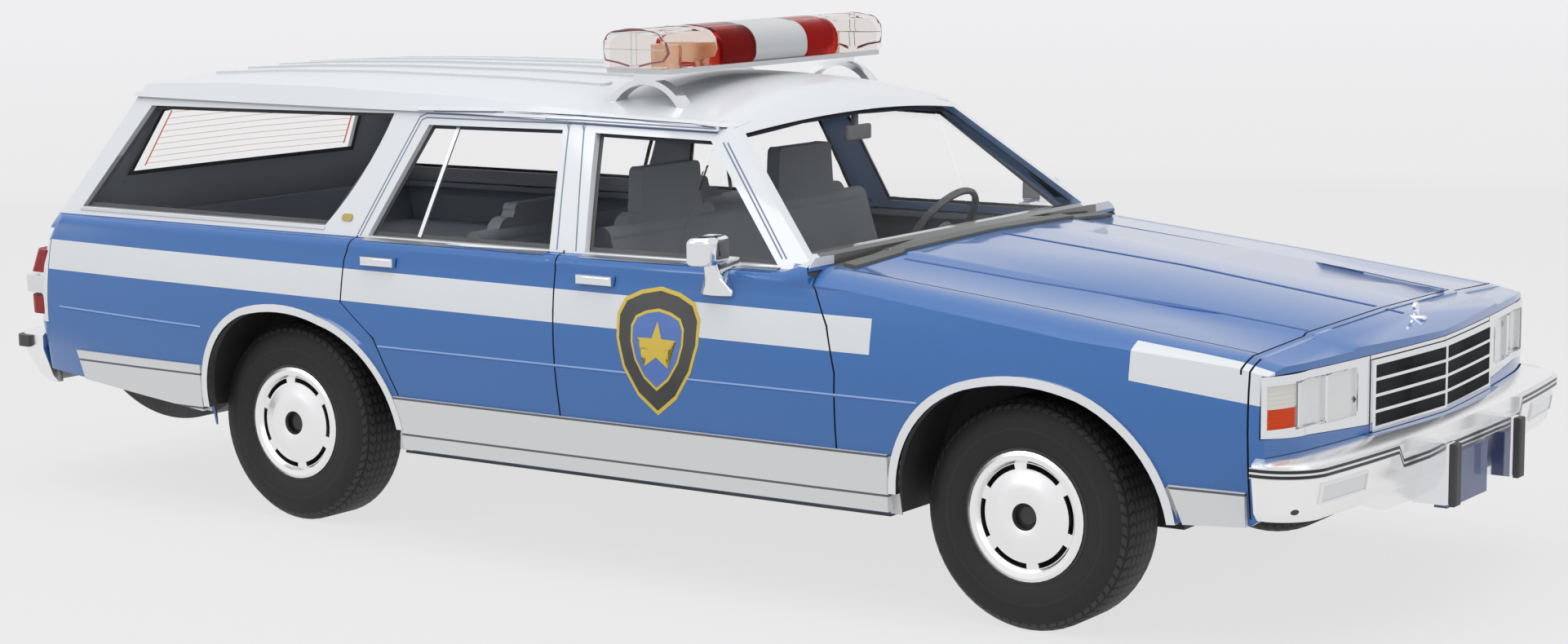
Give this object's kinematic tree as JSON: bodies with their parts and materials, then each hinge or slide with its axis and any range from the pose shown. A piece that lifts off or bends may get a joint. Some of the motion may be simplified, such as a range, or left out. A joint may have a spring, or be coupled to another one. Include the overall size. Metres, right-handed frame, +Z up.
{
  "type": "scale model police station wagon",
  "caption": "Die-cast scale model of a full-size police station wagon with a roof light bar, glazed cabin and rolling wheels.",
  "frame": {"origin": "on the floor under the middle of the model's length and width", "axes": "+X towards the nose, +Y to the model's left side, +Z up"},
  "size_m": [0.3, 0.123, 0.0964],
  "materials": {
    "body_paint": "gloss paint on a die-cast shell",
    "glass": "clear moulded plastic glazing",
    "chassis_plastic": "black moulded plastic",
    "steel": "plain metal",
    "interior_plastic": "moulded grey plastic",
    "seat_plastic": "dark grey plastic",
    "chrome": "vacuum-plated plastic",
    "rubber_black": "black rubber",
    "plate_blue": "blank plate",
    "lens_clear": "clear lens",
    "lens_amber": "amber lens",
    "lens_red": "red lens",
    "trim_silver": "silver-grey paint",
    "tyre": "soft black tyre",
    "wheel_steel": "black wheel"
  },
  "bodies": {
    "car": {"body_shell": "body_paint", "windscreen": "glass", "tailgate_glass": "glass", "side_glass_left": "glass", "side_glass_right": "glass", "base_plate": "chassis_plastic", "rear_axle": "steel", "front_axle": "steel", "exhaust": "steel", "fuel_tank": "chassis_plastic", "interior_tub": "interior_plastic", "dashboard": "interior_plastic", "front_seat": "seat_plastic", "rear_seat": "seat_plastic", "steering_wheel": "interior_plastic", "front_bumper": "chrome", "rear_bumper": "chrome", "bumper_guards": "chrome", "guard_pads": "rubber_black", "front_bumper_strip": "rubber_black", "rear_bumper_strip": "rubber_black", "front_plate": "plate_blue", "rear_plate": "plate_blue", "grille": "chrome", "headlamp_bezels": "chrome", "headlamps": "lens_clear", "corner_lamps": "lens_amber", "tail_lamp_bezels": "chrome", "tail_lamps_red": "lens_red", "reverse_lamps": "lens_clear", "arch_mouldings": "chrome", "lower_trim": "trim_silver", "door_handles": "chrome", "mirror_left": "chrome", "mirror_right": "chrome", "cowl": "chassis_plastic", "light_bar_feet": "chrome", "light_bar_base": "steel", "light_bar_speaker": "trim_silver", "light_bar_red_domes": "lens_red", "light_bar_clear_domes": "lens_clear", "light_bar_lamps": "steel"},
    "wheel_front_left": {"wheel_front_left": "wheel_steel", "tyre_front_left": "tyre", "wheel_cover_front_left": "chrome"},
    "wheel_front_right": {"wheel_front_right": "wheel_steel", "tyre_front_right": "tyre", "wheel_cover_front_right": "chrome"},
    "wheel_rear_left": {"wheel_rear_left": "wheel_steel", "tyre_rear_left": "tyre", "wheel_cover_rear_left": "chrome"},
    "wheel_rear_right": {"wheel_rear_right": "wheel_steel", "tyre_rear_right": "tyre", "wheel_cover_rear_right": "chrome"}
  },
  "joints": [
    {"name": "roll_front_left", "type": "hinge", "parent": "car", "child": "wheel_front_left", "pos_m": [0.09025, 0.0444, 0.0193], "axis": [0, 1, 0], "continuous": true},
    {"name": "roll_front_right", "type": "hinge", "parent": "car", "child": "wheel_front_right", "pos_m": [0.09025, -0.0444, 0.0193], "axis": [0, 1, 0], "continuous": true},
    {"name": "roll_rear_left", "type": "hinge", "parent": "car", "child": "wheel_rear_left", "pos_m": [-0.07345, 0.0444, 0.0193], "axis": [0, 1, 0], "continuous": true},
    {"name": "roll_rear_right", "type": "hinge", "parent": "car", "child": "wheel_rear_right", "pos_m": [-0.07345, -0.0444, 0.0193], "axis": [0, 1, 0], "continuous": true}
  ]
}
